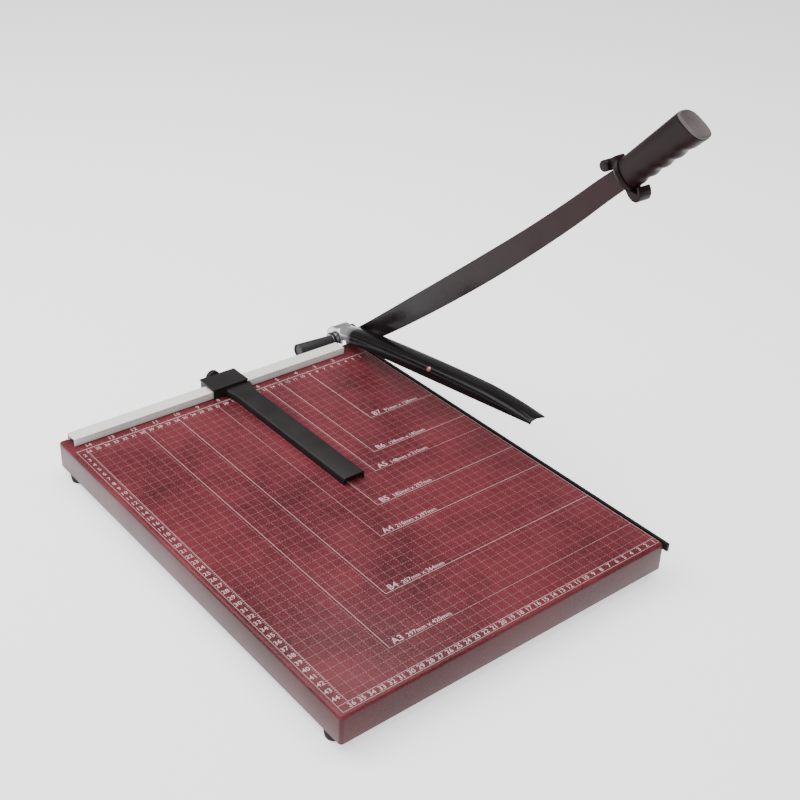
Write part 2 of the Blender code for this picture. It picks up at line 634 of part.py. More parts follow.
def arm_rings():
    """The arm is a shallow upturned channel that flares where it meets the saddle."""
    wall, roof, low = 0.0018, 0.0018, 0.0004
    rings = []
    for y, flare, top in ((-0.0010, 0.0030, 0.0085), (-0.0120, 0.0012, 0.0083),
                          (-0.0260, 0.0, 0.0080), (ARM_TIP, 0.0, 0.0080)):
        left, right = ARM_LEFT - flare, ARM_RIGHT + flare
        section = [(left, low), (left, top - 0.0015), (left + 0.0015, top), (right - 0.0015, top),
                   (right, top - 0.0015), (right, low), (right - wall, low),
                   (right - wall, top - roof), (left + wall, top - roof), (left + wall, low)]
        rings.append([(x, y, z) for x, z in section])
    return rings


def make_knob(materials, corner, knob_z):
    """A turned knob moulded on its threaded stud."""
    turn = make_empty("knob_axis", corner, (KNOB_X, 0, knob_z))
    profile = [(0.0025, 0.0264), (0.0055, 0.0264), (0.0055, 0.0278), (0.0078, 0.0282),
               (0.0080, 0.0288), (0.0080, 0.0335), (0.0072, KNOB_BACK), (0, KNOB_BACK),
               (0, 0.0325), (0.0025, 0.0325)]
    turned("stop_knob", profile, materials["black_plastic"], turn, (0, 0, 0), "Y", 28)
    turned("knob_stud", rod_profile(0.0022, 0.018, 0.0322), materials["bright_steel"], turn,
           (0, 0, 0), "Y", 16)


def main():
    for item in list(bpy.data.objects):
        bpy.data.objects.remove(item, do_unlink=True)
    materials = make_materials()
    corner = make_empty("bed_corner", None, (-CENTRE_X, -CENTRE_Y, -FLOOR))
    make_pan(materials, corner)
    make_knife(materials, corner)
    make_fence(materials, corner)
    make_ribs(materials, corner)
    make_feet(materials, corner)
    make_bracket(materials, corner)
    make_bolt_stack(materials, corner)
    blade_arm = make_empty("blade_pivot", corner, (0, PIVOT_Y, PIVOT_Z), -radians(BLADE_OPEN))
    blade = make_blade(materials, blade_arm)
    grip = make_grip(materials, blade_arm)
    make_pins(materials, blade_arm, blade, grip)
    make_guard(materials, blade_arm)
    clamp_arm = make_empty("clamp_pivot", corner, (0, PIVOT_Y, PIVOT_Z), -radians(CLAMP_OPEN))
    make_clamp(materials, clamp_arm)
    knob_z = make_stop(materials, corner)
    make_knob(materials, corner, knob_z)
    bpy.context.view_layer.update()


main()
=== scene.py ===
"""Finished surfaces of a desktop guillotine paper cutter, built over its fixed frame.

The bed, fence, blade arm, paper clamp and paper stop are each a class that holds its sizes in
metres. Pieces are drawn from the square corner of the bed, where the cutting edge meets the
fence, and are then set down in the frame.
"""

import json
import logging
from dataclasses import dataclass, field
from enum import Enum
from math import cos, pi, radians, sin
from typing import Callable, Optional

import bmesh
import bpy
from mathutils import Matrix, Vector


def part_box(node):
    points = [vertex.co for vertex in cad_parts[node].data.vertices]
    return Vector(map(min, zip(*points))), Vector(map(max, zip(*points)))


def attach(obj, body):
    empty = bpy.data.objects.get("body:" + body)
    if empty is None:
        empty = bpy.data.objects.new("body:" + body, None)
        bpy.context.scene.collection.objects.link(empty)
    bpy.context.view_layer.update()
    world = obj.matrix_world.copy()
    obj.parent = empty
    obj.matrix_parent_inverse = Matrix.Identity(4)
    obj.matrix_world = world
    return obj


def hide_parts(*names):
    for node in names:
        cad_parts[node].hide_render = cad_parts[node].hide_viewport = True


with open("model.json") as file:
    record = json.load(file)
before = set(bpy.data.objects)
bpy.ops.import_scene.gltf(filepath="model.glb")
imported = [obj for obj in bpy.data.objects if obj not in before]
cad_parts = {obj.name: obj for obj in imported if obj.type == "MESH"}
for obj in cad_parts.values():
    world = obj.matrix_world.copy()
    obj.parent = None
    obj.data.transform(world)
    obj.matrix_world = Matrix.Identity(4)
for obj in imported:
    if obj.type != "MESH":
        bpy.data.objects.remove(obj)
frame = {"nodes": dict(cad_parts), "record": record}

LOG = logging.getLogger("paper_cutter")
Point = tuple[float, float, float]
Ring = list[Point]


# Places taken from the frame ------------------------------------------------------------------
def square_corner() -> Vector:
    """Return the bed's square corner: cutting edge, fence face, bed top."""
    knife_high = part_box("bed_knife")[1]
    fence_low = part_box("fence_bar")[0]
    pan_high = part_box("base_pan")[1]
    return Vector((knife_high[0], fence_low[1], pan_high[2]))


def pivot_point() -> Vector:
    """Return the middle of the blade's bush, on the axis of the pivot bolt."""
    low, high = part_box("blade_bush")
    return Vector((square_corner().x, (low.y + high.y) / 2, (low.z + high.z) / 2))


class Seat(Enum):
    """The place that a piece is drawn in: its origin and its tilt about X in degrees."""

    BED = ("corner", 0.0)
    BLADE = ("pivot", -40.0)
    CLAMP = ("pivot", -7.75)

    def matrix(self) -> Matrix:
        """Return the matrix from this seat to the frame."""
        origin = square_corner() if self.value[0] == "corner" else pivot_point()
        return Matrix.Translation(origin) @ Matrix.Rotation(radians(self.value[1]), 4, "X")


# Finishes -------------------------------------------------------------------------------------
class Nodes:
    """Builds the node tree of one material around its Principled shader."""

    def __init__(self, name: str) -> None:
        """Start an empty material.

        Args:
            name: The material's name.
        """
        self.material = bpy.data.materials.new(name)
        self.material.use_nodes = True
        self.tree = self.material.node_tree
        self.shader = self.tree.nodes["Principled BSDF"]
        self.coords = self.tree.nodes.new("ShaderNodeTexCoord").outputs["Object"]

    def add(self, kind: str, **inputs: object) -> bpy.types.Node:
        """Add a node and set its inputs.

        Args:
            kind: The node's type name.
            inputs: Input names, with _ for a space, and their values or sockets.

        Returns:
            The new node.
        """
        node = self.tree.nodes.new(kind)
        for key, value in inputs.items():
            socket = node.inputs[key.replace("_", " ")]
            if isinstance(value, bpy.types.NodeSocket):
                self.tree.links.new(value, socket)
            else:
                socket.default_value = value
        return node

    def height(self) -> bpy.types.NodeSocket:
        """Return the height over the floor in metres."""
        split = self.add("ShaderNodeSeparateXYZ", Vector=self.coords)
        return split.outputs[2]

    def near(self, place: Vector, inner: float, outer: float) -> bpy.types.NodeSocket:
        """Return 1 within the inner distance of a place, falling to 0 at the outer distance."""
        gap = self.tree.nodes.new("ShaderNodeVectorMath")
        gap.operation = "DISTANCE"
        self.tree.links.new(self.coords, gap.inputs[0])
        gap.inputs[1].default_value = place
        return self.span(gap.outputs["Value"], inner, outer, 1, 0)

    def noise(self, scale: float, detail: float = 4.0,
              stretch: Point = (1, 1, 1)) -> bpy.types.NodeSocket:
        """Return a noise value.

        Args:
            scale: Cells in each metre.
            detail: Octaves of finer noise.
            stretch: Scale of the pattern along each axis.

        Returns:
            The noise factor socket.
        """
        mapping = self.add("ShaderNodeMapping", Vector=self.coords, Scale=stretch)
        noise = self.add("ShaderNodeTexNoise", Vector=mapping.outputs[0], Scale=scale, Detail=detail)
        return noise.outputs["Factor" if "Factor" in noise.outputs else "Fac"]

    def blend(self, share: bpy.types.NodeSocket, first: object, second: object) -> bpy.types.NodeSocket:
        """Return a mix of two colours, each a socket or a linear colour.

        Args:
            share: How much of the second colour shows.
            first: The first colour.
            second: The second colour.

        Returns:
            The mixed colour socket.
        """
        node = self.tree.nodes.new("ShaderNodeMix")
        node.data_type = "RGBA"
        self.tree.links.new(share, node.inputs[0])
        for socket, value in ((node.inputs[6], first), (node.inputs[7], second)):
            if isinstance(value, bpy.types.NodeSocket):
                self.tree.links.new(value, socket)
            else:
                socket.default_value = (*value, 1.0)
        return node.outputs[2]

    def span(self, value: bpy.types.NodeSocket, low: float, high: float, start: float = 0.0,
             end: float = 1.0) -> bpy.types.NodeSocket:
        """Return a value mapped from one range to another, clamped.

        Args:
            value: The value to map.
            low: The lowest value read.
            high: The highest value read.
            start: What the lowest value becomes.
            end: What the highest value becomes.

        Returns:
            The mapped value socket.
        """
        node = self.tree.nodes.new("ShaderNodeMapRange")
        self.tree.links.new(value, node.inputs[0])
        for i, number in enumerate((low, high, start, end), 1):
            node.inputs[i].default_value = number
        return node.outputs[0]

    def bump(self, height: bpy.types.NodeSocket, depth: float, strength: float = 1.0) -> None:
        """Raise the surface by a height value.

        Args:
            height: The height from 0 to 1.
            depth: The height of 1, in metres.
            strength: How strongly the bump shows.
        """
        node = self.add("ShaderNodeBump", Height=height, Distance=depth, Strength=strength)
        self.tree.links.new(node.outputs[0], self.shader.inputs["Normal"])

    def set(self, **inputs: object) -> None:
        """Set or link the shader's inputs, with _ for a space in their names."""
        for key, value in inputs.items():
            socket = self.shader.inputs[key.replace("_", " ")]
            if isinstance(value, bpy.types.NodeSocket):
                self.tree.links.new(value, socket)
            else:
                socket.default_value = value


@dataclass(frozen=True)
class Enamel:
    """Stove enamel on sheet steel: mottled under a slightly rippled gloss, with painted shade darkening
    the pan's sides.
    """

    name: str
    dark: Point
    light: Point
    gloss: float = 0.30
    speckle: float = 0.9

    def build(self) -> bpy.types.Material:
        """Return the material."""
        nodes = Nodes(self.name)
        cloud = nodes.span(nodes.noise(14, 7), 0.34, 0.62)
        fine = nodes.span(nodes.noise(620, 3), 0.42, 0.70)
        base = nodes.blend(cloud, self.dark, self.light)
        grain = tuple(min(1.0, channel * (1 + self.speckle)) for channel in self.light)
        speckled = nodes.blend(nodes.span(fine, 0, 1, 0, 0.6), base, grain)
        top = square_corner().z
        # Painted shade: the enamel turns darker just below the bed's top edge, so the pan's side faces
        # look shaded.
        painted_wall_shade = nodes.span(nodes.height(), top - 0.0030, top - 0.0008, 0.62, 0)
        colour = nodes.blend(painted_wall_shade, speckled, tuple(channel * 0.35 for channel in self.dark))
        nodes.set(Base_Color=colour, Coat_Weight=0.05, Coat_Roughness=0.10, Specular_IOR_Level=0.18)
        nodes.set(Roughness=nodes.span(nodes.noise(30, 3), 0.2, 0.8, self.gloss - 0.03, self.gloss + 0.05))
        nodes.bump(nodes.noise(420, 2), 0.00003, 0.5)
        return nodes.material


@dataclass(frozen=True)
class BlackSteel:
    """Dark steel with a brushed grain, and two colours that some pieces also have.

    One is bright metal round the pivot, a painted reflection on the clamp's glossy hub, and the other a
    red tint up the raised blade, a painted reflection of the maroon bed.
    """

    name: str
    colour: Point
    gloss: float = 0.22
    metal: float = 0.0
    grain: Point = (1, 0.05, 1)
    worn: Optional[Point] = None
    flush: Optional[Point] = None

    def build(self) -> bpy.types.Material:
        """Return the material."""
        nodes = Nodes(self.name)
        streak = nodes.span(nodes.noise(700, 3, self.grain), 0.3, 0.7)
        smudge = nodes.span(nodes.noise(28, 5), 0.4, 0.7)
        lighter = tuple(channel * 1.5 + 0.004 for channel in self.colour)
        colour = nodes.blend(nodes.span(streak, 0, 1, 0, 0.5), self.colour, lighter)
        if self.flush:
            # Painted reflection: the blade turns red higher up, standing in for the maroon bed mirrored in
            # its gloss.
            colour = nodes.blend(nodes.span(nodes.height(), 0.12, 0.36), colour, self.flush)
        nodes.set(Base_Color=colour, Metallic=self.metal, Coat_Weight=0.06, Coat_Roughness=0.05,
                  Specular_IOR_Level=0.14)
        nodes.set(Roughness=nodes.span(smudge, 0, 1, self.gloss, self.gloss + 0.14))
        if self.worn:
            # Painted reflection: bright metal round the pivot stands in for the highlight on the clamp's
            # glossy hub.
            hub_sheen_mask = nodes.near(pivot_point() + Vector((-0.016, 0, 0)), 0.013, 0.034)
            nodes.set(Base_Color=nodes.blend(hub_sheen_mask, colour, self.worn), Metallic=hub_sheen_mask)
        nodes.bump(streak, 0.000015, 0.5)
        return nodes.material


@dataclass(frozen=True)
class BrightSteel:
    """Zinc-plated or polished steel with fine turning marks."""

    name: str
    colour: Point = (0.60, 0.60, 0.61)
    gloss: float = 0.22

    def build(self) -> bpy.types.Material:
        """Return the material."""
        nodes = Nodes(self.name)
        cloud = nodes.span(nodes.noise(160, 4), 0.35, 0.65)
        dull = tuple(channel * 0.72 for channel in self.colour)
        nodes.set(Base_Color=nodes.blend(cloud, dull, self.colour), Metallic=1.0)
        nodes.set(Roughness=nodes.span(cloud, 0, 1, self.gloss + 0.12, self.gloss))
        nodes.bump(nodes.noise(1800, 2, (6, 1, 1)), 0.00001, 0.4)
        return nodes.material


@dataclass(frozen=True)
class Moulding:
    """Moulded plastic or rubber with a spark-eroded texture."""

    name: str
    colour: Point
    gloss: float = 0.42
    texture: float = 1300
    depth: float = 0.00004
    warm: Point = (0.0, 0.0, 0.0)

    def build(self) -> bpy.types.Material:
        """Return the material."""
        nodes = Nodes(self.name)
        cloud = nodes.span(nodes.noise(45, 4), 0.35, 0.68)
        tinted = tuple(channel * 1.35 + warm for channel, warm in zip(self.colour, self.warm))
        nodes.set(Base_Color=nodes.blend(cloud, self.colour, tinted), Specular_IOR_Level=0.16)
        nodes.set(Roughness=nodes.span(cloud, 0, 1, self.gloss, self.gloss + 0.12))
        nodes.bump(nodes.noise(self.texture, 2), self.depth, 0.6)
        return nodes.material


@dataclass(frozen=True)
class Ink:
    """Screen-printed ink with a slightly uneven cover."""

    name: str
    colour: Point

    def build(self) -> bpy.types.Material:
        """Return the material."""
        nodes = Nodes(self.name)
        cover = nodes.span(nodes.noise(1500, 3), 0.3, 0.6)
        thin = tuple(channel * 0.72 for channel in self.colour)
        nodes.set(Base_Color=nodes.blend(cover, thin, self.colour), Roughness=0.5)
        return nodes.material


class Paint:
    """Every finish of the cutter, made once."""

    def __init__(self) -> None:
        """Build the materials."""
        maroon_dark, maroon_light = (0.048, 0.006, 0.009), (0.128, 0.020, 0.027)
        self.bed = Enamel("bed_enamel", maroon_dark, maroon_light).build()
        self.fence = Enamel("fence_paint", (0.74, 0.73, 0.70), (0.82, 0.81, 0.78), 0.4, 0.04).build()
        self.knife = BlackSteel("knife_steel", (0.008, 0.008, 0.009), 0.35).build()
        # The blade's steel carries a painted reflection of the maroon bed, a red tint higher up.
        self.blade = BlackSteel("blade_steel", (0.010, 0.007, 0.008), 0.14, 0.1,
                                flush=(0.020, 0.003, 0.004)).build()
        # The clamp's steel carries a painted reflection: bright metal round the pivot.
        self.clamp = BlackSteel("clamp_enamel", (0.004, 0.003, 0.0035), 0.14,
                                worn=(0.62, 0.62, 0.64)).build()
        self.bracket = BlackSteel("bracket_paint", (0.015, 0.012, 0.013), 0.35).build()
        self.cover = BlackSteel("cover_paint", (0.030, 0.028, 0.030), 0.38).build()
        self.bright = BrightSteel("bright_steel").build()
        self.zinc = BrightSteel("zinc_plate", (0.52, 0.52, 0.53), 0.3).build()
        self.rivet = BrightSteel("rivet_copper", (0.48, 0.22, 0.22), 0.32).build()
        self.grip = Moulding("grip_plastic", (0.009, 0.0045, 0.0045), 0.33, 900, 0.00003,
                             (0.004, 0.0, 0.0)).build()
        self.butt = Moulding("butt_plastic", (0.095, 0.080, 0.078), 0.5).build()
        self.stop = Moulding("stop_plastic", (0.016, 0.0135, 0.014), 0.36).build()
        self.rubber = Moulding("foot_rubber", (0.012, 0.012, 0.012), 0.7, 600, 0.0001).build()
        self.print = Ink("bed_ink", (0.66, 0.46, 0.47)).build()
        self.grid = Ink("grid_ink", (0.40, 0.22, 0.23)).build()
        self.black_ink = Ink("fence_ink", (0.02, 0.02, 0.02)).build()


# Bench work -----------------------------------------------------------------------------------
def clear_selection() -> None:
    """Leave edit mode and deselect everything."""
    if bpy.context.object and bpy.context.object.mode != "OBJECT":
        bpy.ops.object.mode_set(mode="OBJECT")
    bpy.ops.object.select_all(action="DESELECT")


def name_active(name: str) -> bpy.types.Object:
    """Name the piece that was just added and its mesh, and return it."""
    item = bpy.context.object
    item.name = name
    item.data.name = name
    return item


def add_box(name: str, low: Point, high: Point) -> bpy.types.Object:
    """Add a box between two corners and return it."""
    clear_selection()
    low_corner, high_corner = Vector(low), Vector(high)
    bpy.ops.mesh.primitive_cube_add(size=1, location=(low_corner + high_corner) / 2)
    item = name_active(name)
    item.scale = high_corner - low_corner
    bpy.ops.object.transform_apply(location=True, rotation=True, scale=True)
    return item


def add_rod(name: str, radii: tuple[float, float], start: float, end: float, axis: str = "Z",
            place: Point = (0, 0, 0), sides: int = 48) -> bpy.types.Object:
    """Add a straight or tapered rod and return it.

    Args:
        name: The piece's name.
        radii: Radius at the start and at the end.
        start: Where it starts along its axis, from its place.
        end: Where it ends along its axis.
        axis: X, Y or Z.
        place: The point on the axis that start and end count from.
        sides: Number of sides.

    Returns:
        The rod.
    """
    clear_selection()
    bpy.ops.mesh.primitive_cone_add(vertices=sides, radius1=radii[0], radius2=radii[1],
                                    depth=end - start, location=(0, 0, (start + end) / 2))
    item = name_active(name)
    bpy.ops.object.transform_apply(location=True, rotation=True, scale=True)
    turn = {"X": Matrix.Rotation(pi / 2, 4, "Y"), "Y": Matrix.Rotation(-pi / 2, 4, "X"),
            "Z": Matrix.Identity(4)}[axis]
    item.matrix_world = Matrix.Translation(place) @ turn
    bpy.ops.object.transform_apply(location=True, rotation=True, scale=True)
    return item


def select_faces(item: bpy.types.Object, test: Callable[[bmesh.types.BMFace], bool]) -> None:
    """Enter edit mode on a piece and select the faces that pass a test."""
    if item.mode != "EDIT":
        clear_selection()
        bpy.context.view_layer.objects.active = item
        item.select_set(True)
        bpy.ops.object.mode_set(mode="EDIT")
    bpy.ops.mesh.select_mode(type="FACE")
    bpy.ops.mesh.select_all(action="DESELECT")
    mesh = bmesh.from_edit_mesh(item.data)
    for face in mesh.faces:
        face.select = test(face)
    mesh.select_flush_mode()
    bmesh.update_edit_mesh(item.data)


def facing(direction: Point, least: float = 0.9) -> Callable[[bmesh.types.BMFace], bool]:
    """Return a test for faces that look along a direction."""
    return lambda face: face.normal.dot(Vector(direction)) > least


def sweep(name: str, rings: list[Ring]) -> bpy.types.Object:
    """Extrude a filled outline through a row of rings, with both ends closed.

    Args:
        name: The piece's name.
        rings: Equally long rings of points, in order.

    Returns:
        The piece, with its faces pointing out.
    """
    clear_selection()
    bpy.ops.mesh.primitive_circle_add(vertices=len(rings[0]), radius=0.01, fill_type="NGON")
    item = name_active(name)
    bpy.ops.object.mode_set(mode="EDIT")
    bpy.ops.mesh.select_mode(type="FACE")
    mesh = bmesh.from_edit_mesh(item.data)
    mesh.verts.ensure_lookup_table()
    for vert, point in zip(mesh.verts, rings[0]):
        vert.co = point
    for before, after in zip(rings, rings[1:]):
        bmesh.update_edit_mesh(item.data)
        bpy.ops.mesh.extrude_region_move()
        mesh = bmesh.from_edit_mesh(item.data)
        places = [Vector(point) for point in before]
        for vert in [vert for vert in mesh.verts if vert.select]:
            nearest = min(range(len(places)), key=lambda i: (places[i] - vert.co).length_squared)
            vert.co = after[nearest]
    bmesh.update_edit_mesh(item.data)
    bpy.ops.mesh.select_all(action="SELECT")
    bpy.ops.mesh.normals_make_consistent(inside=False)
    bpy.ops.object.mode_set(mode="OBJECT")
    return item


def apply_modifier(item: bpy.types.Object, kind: str, **settings: object) -> None:
    """Add a modifier to a piece with its settings and apply it."""
    clear_selection()
    bpy.context.view_layer.objects.active = item
    item.select_set(True)
    modifier = item.modifiers.new(kind.lower(), kind)
    for key, value in settings.items():
        setattr(modifier, key, value)
    bpy.ops.object.modifier_apply(modifier=modifier.name)


def round_edges(item: bpy.types.Object, width: float, segments: int = 3, angle: float = 35) -> None:
    """Round the edges of a piece that are sharper than an angle in degrees."""
    apply_modifier(item, "BEVEL", width=width, segments=segments, limit_method="ANGLE",
                   angle_limit=radians(angle), use_clamp_overlap=True)


def combine(item: bpy.types.Object, other: bpy.types.Object, operation: str = "UNION") -> None:
    """Join a second solid to a piece, or cut it out, and delete the second solid."""
    apply_modifier(item, "BOOLEAN", object=other, operation=operation)
    bpy.data.objects.remove(other, do_unlink=True)


def join(item: bpy.types.Object, others: list[bpy.types.Object]) -> None:
    """Make other objects part of a piece's mesh."""
    clear_selection()
    for other in others:
        other.select_set(True)
    item.select_set(True)
    bpy.context.view_layer.objects.active = item
    bpy.ops.object.join()


def hand_in(item: bpy.types.Object, seat: Seat, body: str, finish: bpy.types.Material, slot: str,
            *nodes: str, smooth: Optional[float] = 32) -> bpy.types.Object:
    """Shade, seat and paint a finished piece, and fix it to its body.

    Args:
        item: The piece, drawn in its seat.
        seat: The place it was drawn in.
        body: The frame's body that it rides on.
        finish: Its material.
        slot: The record's material slot; not used.
        nodes: Frame nodes that it stands for.
        smooth: Angle in degrees under which faces are shaded as one surface, or None.

    Returns:
        The piece.
    """
    clear_selection()
    bpy.context.view_layer.objects.active = item
    item.select_set(True)
    item.matrix_world = seat.matrix() @ item.matrix_world
    bpy.ops.object.transform_apply(location=True, rotation=True, scale=True)
    if smooth is not None:
        bpy.ops.object.shade_smooth_by_angle(angle=radians(smooth))
    item.data.materials.clear()
    item.data.materials.append(finish)
    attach(item, body)
    if nodes:
        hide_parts(*nodes)
    LOG.info("%s: %d faces on %s", item.name, len(item.data.polygons), body)
    return item


def track(points: list[tuple[float, float]], at: float) -> float:
    """Read a smooth curve through a few (place, value) points.

    Args:
        points: The points, in order of place.
        at: The place to read.

    Returns:
        The value there.
    """
    spans = list(zip(points, points[1:]))
    index = next((i for i, (_, after) in enumerate(spans) if at <= after[0]), len(spans) - 1)

    def slope(i: int) -> float:
        """Return the curve's slope at a point."""
        before, after = points[max(i - 1, 0)], points[min(i + 1, len(points) - 1)]
        return (after[1] - before[1]) / (after[0] - before[0])

    (x0, y0), (x1, y1) = points[index], points[index + 1]
    span = x1 - x0
    t = min(max((at - x0) / span, 0.0), 1.0)
    rise = 2 * t ** 3 - 3 * t ** 2
    return ((rise + 1) * y0 - rise * y1 + (t ** 3 - 2 * t ** 2 + t) * span * slope(index)
            + (t ** 3 - t ** 2) * span * slope(index + 1))


def spread(low: float, high: float, count: int) -> list[float]:
    """Return evenly spaced values from low to high, both included."""
    return [low + (high - low) * i / (count - 1) for i in range(count)]


# Bed ------------------------------------------------------------------------------------------
@dataclass
class Bed:
    """The enamelled pan with its rounded folds, its knife and its feet."""

    paint: Paint
    left: float = -0.3765
    front: float = -0.460
    back: float = 0.020
    right: float = -0.0033
    tall: float = 0.029
    fold: float = 0.0034
    sheet: float = 0.0015
    foot_tall: float = 0.010

    def build(self) -> None:
        """Build the bed's pieces."""
        self.pan()
        self.knife()
        for number in range(1, 5):
            self.foot(number)

    def pan(self) -> None:
        """Fold the pan from a box: open underneath, with rounded folds and a sheet's thickness."""
        pan = add_box("pan_shell", (self.left, self.front, -self.tall), (self.right, self.back, 0))
        select_faces(pan, facing((0, 0, -1)))
        bpy.ops.mesh.delete(type="ONLY_FACE")
        bpy.ops.mesh.select_mode(type="EDGE")
        bpy.ops.mesh.select_all(action="DESELECT")
        mesh = bmesh.from_edit_mesh(pan.data)
        for edge in mesh.edges:
            edge.select = len(edge.link_faces) == 2
        bmesh.update_edit_mesh(pan.data)
        bpy.ops.mesh.bevel(offset=self.fold, segments=6, affect="EDGES")
        bpy.ops.object.mode_set(mode="OBJECT")
        apply_modifier(pan, "SOLIDIFY", thickness=self.sheet, offset=-1)
        round_edges(pan, 0.0004, 2, 60)
        hand_in(pan, Seat.BED, "base", self.paint.bed, "pan_enamel", "base_pan")

    def knife(self) -> None:
        """Grind the fixed knife, which runs just past the front of the bed."""
        knife = add_box("knife_strip", (-0.003, self.front - 0.0033, -0.008), (0, self.back, 0))
        for number in range(1, 4):
            low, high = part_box(f"knife_screw_{number}")
            place = (low + high) / 2 - square_corner()
            sink = add_rod("sink", (0.0018, 0.0027), -0.0034, 0.0002, "X", (0, place.y, place.z), 32)
            combine(knife, sink, "DIFFERENCE")
        round_edges(knife, 0.0003, 2, 60)
        hand_in(knife, Seat.BED, "base", self.paint.knife, "knife_steel", "bed_knife")

    def foot(self, number: int) -> None:
        """Turn one rubber foot: a taper with a rounded tread and a recess for its screw."""
        low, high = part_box(f"foot_{number}")
        middle = (low + high) / 2 - square_corner()
        floor = low.z - square_corner().z
        foot = add_rod(f"rubber_foot_{number}", (0.0085, 0.0098), 0, self.foot_tall, "Z",
                       (middle.x, middle.y, floor), 48)
        select_faces(foot, facing((0, 0, -1)))
        bpy.ops.mesh.inset(thickness=0.0032)
        bpy.ops.mesh.extrude_region_move(TRANSFORM_OT_translate={"value": (0, 0, 0.0035)})
        bpy.ops.object.mode_set(mode="OBJECT")
        round_edges(foot, 0.0009, 3, 50)
        hand_in(foot, Seat.BED, "base", self.paint.rubber, "foot_rubber", f"foot_{number}")


@dataclass
class BedPrint:
    """The scale printed on the bed: paper sizes, a dashed centimetre grid and two rulers."""

    paint: Paint
    lift: float = 0.00006
    thin: float = 0.00035
    bold: float = 0.0007
    left: float = -0.371
    front: float = -0.4555
    right: float = -0.006
    back: float = -0.010
    side_band: float = 0.010
    front_band: float = 0.0075
    sizes: dict[str, tuple[int, int]] = field(default_factory=lambda: {
        "A3": (297, 420), "B4": (257, 364), "A4": (210, 297), "B5": (182, 257),
        "A5": (148, 210), "B6": (128, 182), "B7": (91, 128)})

    def build(self) -> None:
        """Print every mark and join them into one piece."""
        bold = self.border() + self.paper_sizes() + self.rulers() + self.numbers()
        for name, marks, ink in (("bed_print", bold, self.paint.print),
                                 ("bed_grid", self.grid(), self.paint.grid)):
            join(marks[0], marks[1:])
            marks[0].name = name
            hand_in(marks[0], Seat.BED, "base", ink, "pan_enamel", smooth=None)

    def line(self, x0: float, y0: float, x1: float, y1: float, wide: float) -> bpy.types.Object:
        """Return a straight printed line along X or Y."""
        clear_selection()
        half = wide / 2
        low = Vector((min(x0, x1) - half, min(y0, y1) - half, self.lift))
        high = Vector((max(x0, x1) + half, max(y0, y1) + half, self.lift))
        bpy.ops.mesh.primitive_plane_add(size=1, location=(low + high) / 2)
        item = name_active("line")
        item.scale = (high.x - low.x, high.y - low.y, 1)
        bpy.ops.object.transform_apply(location=True, rotation=True, scale=True)
        return item

    def repeat(self, item: bpy.types.Object, step: Point, count: int) -> bpy.types.Object:
        """Copy a mark along a step and return it."""
        apply_modifier(item, "ARRAY", count=count, use_relative_offset=False,
                       use_constant_offset=True, constant_offset_displace=step)
        return item

    def border(self) -> list[bpy.types.Object]:
        """Return the frame round the print and the inner edges of the ruler bands."""
        inner_left = self.left + self.side_band
        inner_front = self.front + self.front_band
        return [
            self.line(self.left, self.front, self.right, self.front, self.thin),
            self.line(self.left, self.back, self.right, self.back, self.bold),
            self.line(self.left, self.front, self.left, self.back, self.thin),
            self.line(self.right, self.front, self.right, self.back, self.thin),
            self.line(self.left, inner_front, self.right, inner_front, self.thin),
            self.line(inner_left, self.front, inner_left, self.back, self.thin),
        ]

    def paper_sizes(self) -> list[bpy.types.Object]:
        """Return the two lines and the label of each paper size."""
        marks = []
        for label, (wide, long) in self.sizes.items():
            x, y = -wide / 1000, -long / 1000
            marks.append(self.line(x, y, x, self.back, self.thin * 1.3))
            marks.append(self.line(x, y, self.right, y, self.thin * 1.3))
            marks.append(self.text(label, (x + 0.006, y + 0.0016), 0.0075))
            marks.append(self.text(f"{wide}mm x {long}mm", (x + 0.0210, y + 0.0016), 0.0050))
        return marks

    def grid(self) -> list[bpy.types.Object]:
        """Return the dashed centimetre grid, one dash copied along and across the bed."""
        pitch, dash = 0.0030, 0.0017
        low_x, low_y = self.left + self.side_band, self.front + self.front_band
        columns = int((self.right - low_x) / 0.01)
        rows = int((self.back - low_y) / 0.01)
        along_x = self.line(low_x + 0.0008, -0.02, low_x + 0.0008 + dash, -0.02, self.thin * 0.8)
        self.repeat(along_x, (pitch, 0, 0), int((self.right - low_x) / pitch))
        self.repeat(along_x, (0, -0.01, 0), rows)
        along_y = self.line(-0.01, low_y + 0.0008, -0.01, low_y + 0.0008 + dash, self.thin * 0.8)
        self.repeat(along_y, (0, pitch, 0), int((self.back - low_y) / pitch))
        self.repeat(along_y, (-0.01, 0, 0), columns)
        return [along_x, along_y]

    def rulers(self) -> list[bpy.types.Object]:
        """Return the millimetre and half-inch ticks beside the numbers."""
        thin = self.thin * 0.8
        front_tick = self.line(-0.01, self.front + self.front_band, -0.01,
                               self.front + self.front_band - 0.0014, thin)
        self.repeat(front_tick, (-0.0025, 0, 0), 140)
        side_tick = self.line(self.left + self.side_band, -0.015, self.left + self.side_band - 0.0018,
                              -0.015, thin)
        self.repeat(side_tick, (0, -0.0025, 0), 172)
        back_tick = self.line(-0.01, self.back, -0.01, self.back - 0.0018, thin)
        self.repeat(back_tick, (-0.0025, 0, 0), 140)
        inch_tick = self.line(-0.0254, self.back, -0.0254, self.back + 0.0022, thin)
        self.repeat(inch_tick, (-0.0127, 0, 0), 26)
        return [front_tick, side_tick, back_tick, inch_tick]

    def numbers(self) -> list[bpy.types.Object]:
        """Return the centimetre numbers at the front and left and the inch numbers at the back."""
        marks = []
        for n in range(1, 37):
            marks.append(self.text(str(n), (-n / 100, self.front + 0.0014), 0.0052, True))
            marks.append(self.text(str(n), (-n / 100, self.back - 0.0072), 0.0046, True))
        for n in range(2, 45):
            marks.append(self.text(str(n), (self.left + 0.0042, -n / 100 - 0.0022), 0.0052, True))
        for n in range(2, 15):
            marks.append(self.text(str(n), (-n * 0.0254, self.back + 0.0030), 0.0056, True))
        return marks

